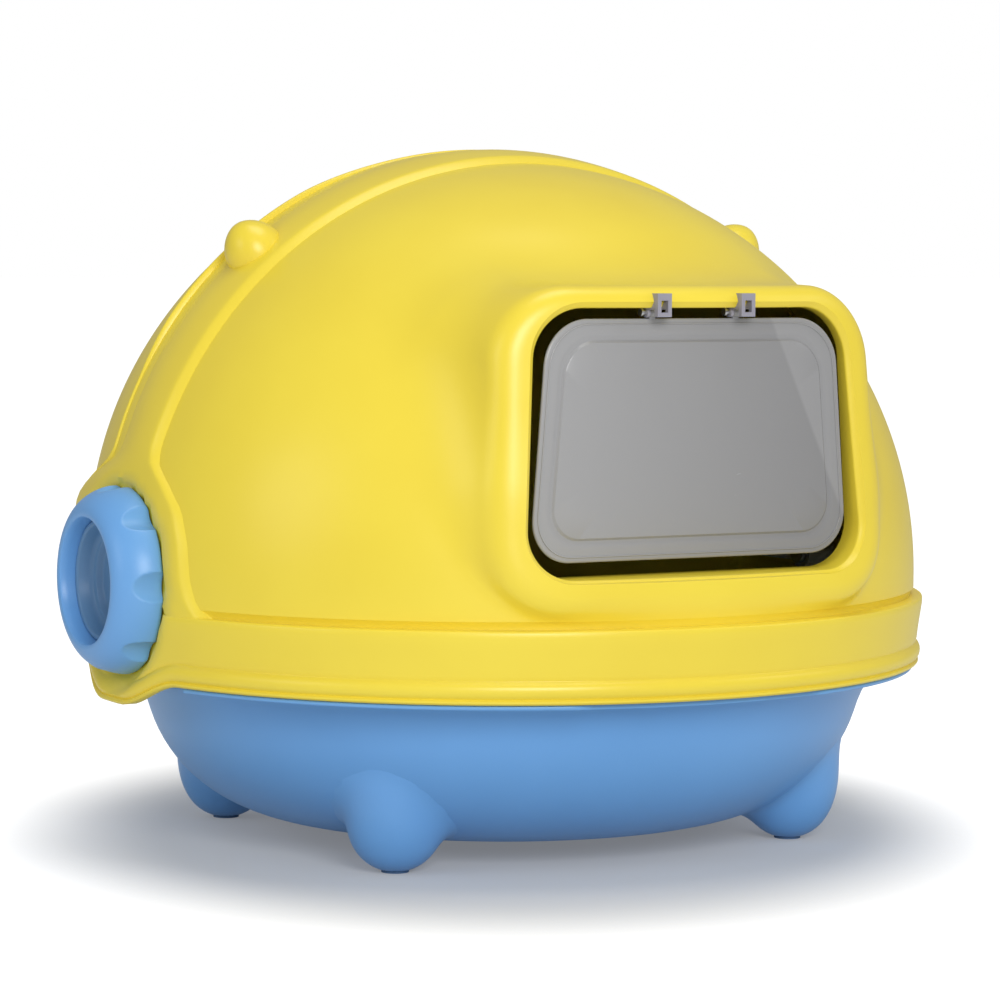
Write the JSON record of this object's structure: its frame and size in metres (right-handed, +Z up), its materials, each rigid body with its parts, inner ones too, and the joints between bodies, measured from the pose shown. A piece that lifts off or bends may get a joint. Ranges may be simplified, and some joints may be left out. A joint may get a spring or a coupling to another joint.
{
  "type": "hooded litter box",
  "caption": "Domed hooded litter box: a footed tray under a lift-off round hood with a swinging see-through flap, side latch knobs and two small horns.",
  "frame": {"origin": "on the floor, under the middle of the box", "axes": "+Z up, the door faces -Y, +X to the right of someone facing the door"},
  "size_m": [0.5524, 0.4998, 0.4174],
  "materials": {
    "yellow_shell": "moulded lemon-yellow polypropylene, soft gloss",
    "blue_shell": "moulded sky-blue polypropylene, soft gloss",
    "blue_cup": "moulded deeper blue polypropylene, soft gloss",
    "smoke_flap": "smoke-grey translucent plastic, frosted",
    "grey_clip": "grey-lilac translucent plastic",
    "natural_plastic": "natural white acetal",
    "pin_steel": "plain steel",
    "pad_rubber": "matt soft rubber"
  },
  "bodies": {
    "base": {"tray": "blue_shell", "foot_pads": "pad_rubber"},
    "hood": {"hood_shell": "yellow_shell", "hinge_clip_left": "grey_clip", "hinge_clip_right": "grey_clip", "hinge_pin_left": "pin_steel", "hinge_pin_right": "pin_steel", "friction_washer_left": "pad_rubber", "friction_washer_right": "pad_rubber", "horn_left": "yellow_shell", "horn_right": "yellow_shell", "horn_nut_left": "pin_steel", "horn_nut_right": "pin_steel"},
    "door": {"flap": "smoke_flap"},
    "latch_left": {"knob_left": "blue_shell", "knob_cup_left": "blue_cup", "spindle_left": "natural_plastic", "latch_cam_left": "natural_plastic", "cam_screw_left": "pin_steel"},
    "latch_right": {"knob_right": "blue_shell", "knob_cup_right": "blue_cup", "spindle_right": "natural_plastic", "latch_cam_right": "natural_plastic", "cam_screw_right": "pin_steel"}
  },
  "joints": [
    {"name": "hood_lift", "type": "slide", "parent": "base", "child": "hood", "axis": [0, 0, 1], "range_m": [0, 0.12]},
    {"name": "flap_swing", "type": "hinge", "parent": "hood", "child": "door", "pos_m": [0, -0.2155, 0.322], "axis": [1, 0, 0], "range_deg": [-65, 65]},
    {"name": "latch_turn_left", "type": "hinge", "parent": "hood", "child": "latch_left", "pos_m": [-0.2488, 0.0058, 0.1628], "axis": [-1, 0, 0], "range_deg": [0, 90]},
    {"name": "latch_turn_right", "type": "hinge", "parent": "hood", "child": "latch_right", "pos_m": [0.2488, 0.0058, 0.1628], "axis": [-1, 0, 0], "range_deg": [0, 90]}
  ]
}
